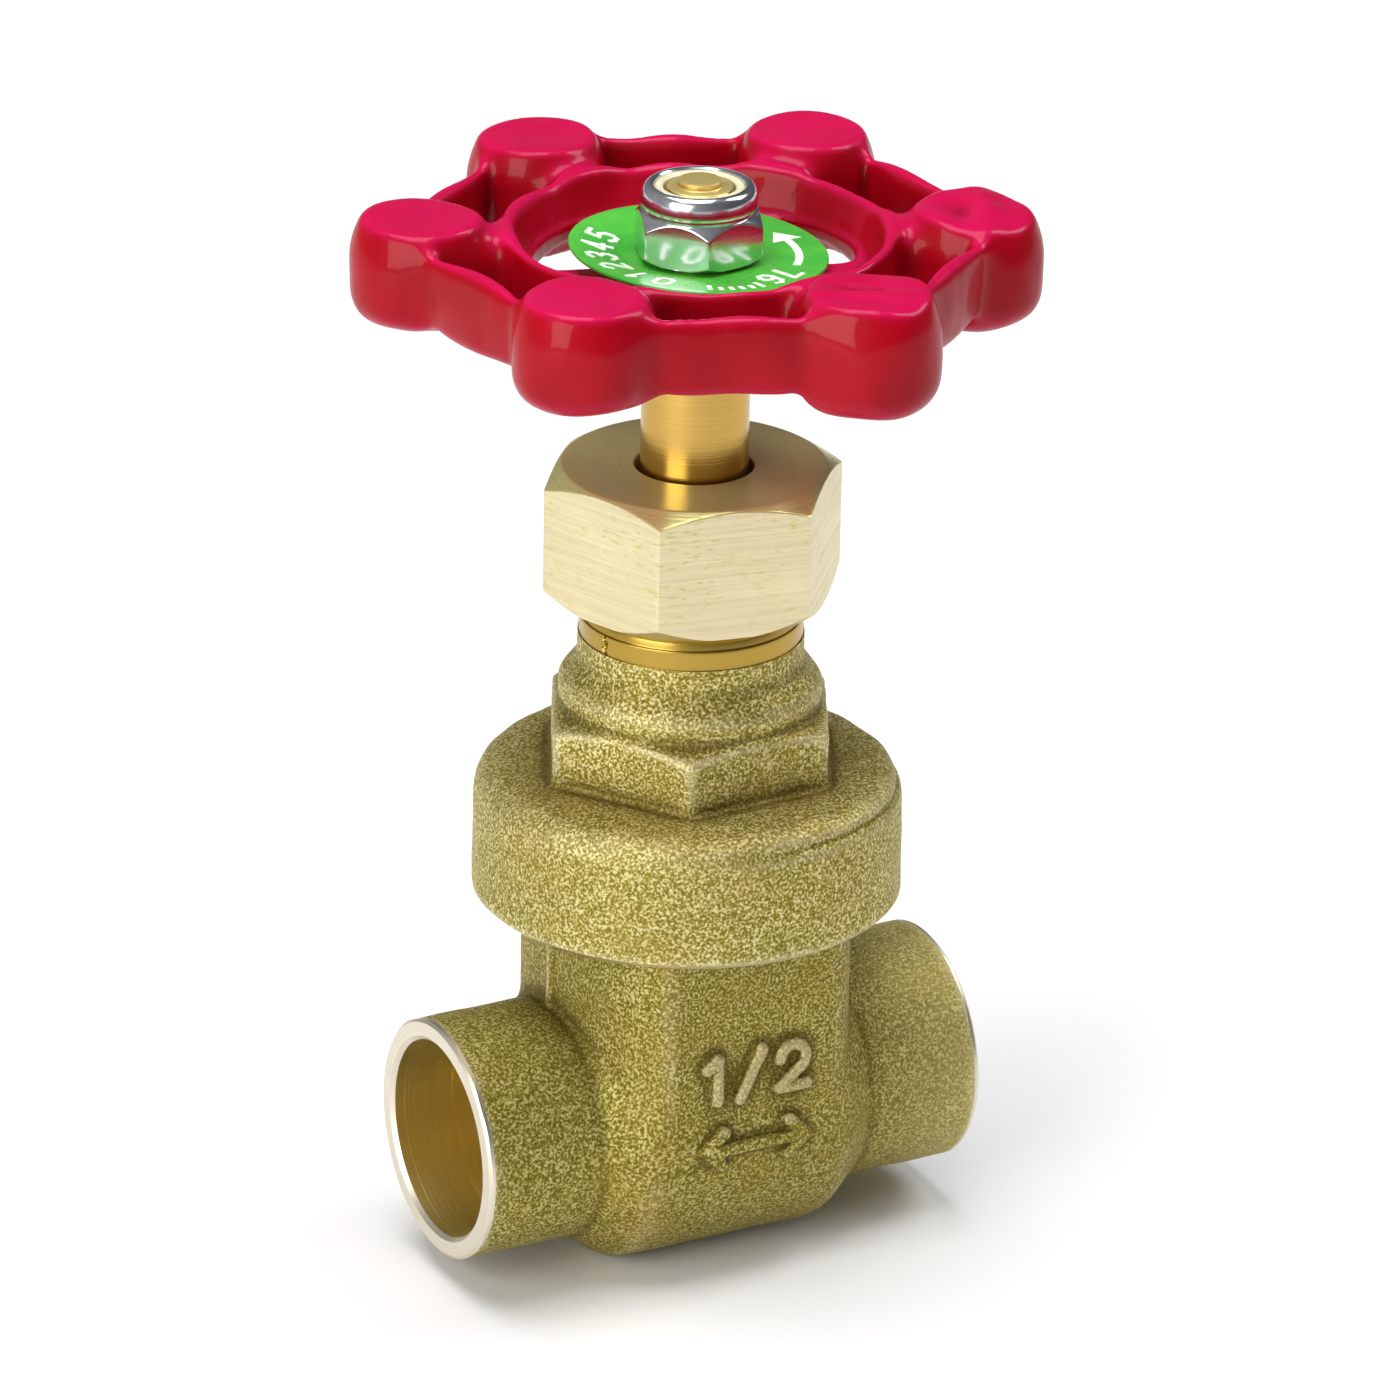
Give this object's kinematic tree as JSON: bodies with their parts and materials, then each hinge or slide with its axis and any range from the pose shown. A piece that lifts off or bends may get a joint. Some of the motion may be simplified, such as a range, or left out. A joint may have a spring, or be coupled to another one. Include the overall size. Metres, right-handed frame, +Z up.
{
  "type": "gate valve",
  "caption": "Small brass gate valve with two solder sockets in line, a threaded bonnet, a hexagonal packing nut and a lobed red handwheel on a non-rising stem.",
  "frame": {"origin": "on the surface the valve stands on, under the middle of the body and on the stem's axis", "axes": "+Z up along the stem, X along the pipe, the flat front face with the size mark towards -Y"},
  "size_m": [0.0508, 0.053, 0.0887],
  "materials": {
    "cast_brass": "shot-blasted casting, fine grain, satin",
    "machined_brass": "turned and milled, bright",
    "red_paint": "thick glossy dipped enamel",
    "green_print": "printed aluminium disc, semi-gloss",
    "plated_steel": "bright zinc plate",
    "nylon": "satin",
    "graphite_packing": "matt graphited fibre",
    "fibre_gasket": "matt compressed fibre"
  },
  "bodies": {
    "valve_body": {"body": "cast_brass", "bonnet": "cast_brass", "bonnet_gasket": "fibre_gasket", "stem_thrust_washer": "machined_brass", "packing_ring_lower": "graphite_packing", "packing_ring_middle": "graphite_packing", "packing_ring_upper": "graphite_packing", "packing_gland": "machined_brass", "packing_nut": "machined_brass"},
    "stem_assembly": {"stem": "machined_brass", "handwheel": "red_paint", "identification_plate": "green_print", "lock_nut": "plated_steel", "lock_nut_insert": "nylon"},
    "gate_assembly": {"gate": "machined_brass"}
  },
  "joints": [
    {"name": "stem_turn", "type": "hinge", "parent": "valve_body", "child": "stem_assembly", "pos_m": [0, 0, 0.04555], "axis": [0, 0, 1], "range_deg": [0, 1980]},
    {"name": "gate_lift", "type": "slide", "parent": "valve_body", "child": "gate_assembly", "axis": [0, 0, 1], "range_m": [0, 0.0138]}
  ],
  "couplings": [
    {"joint": "gate_lift", "follows": "stem_turn", "m_per_rad": 0.00039789}
  ]
}
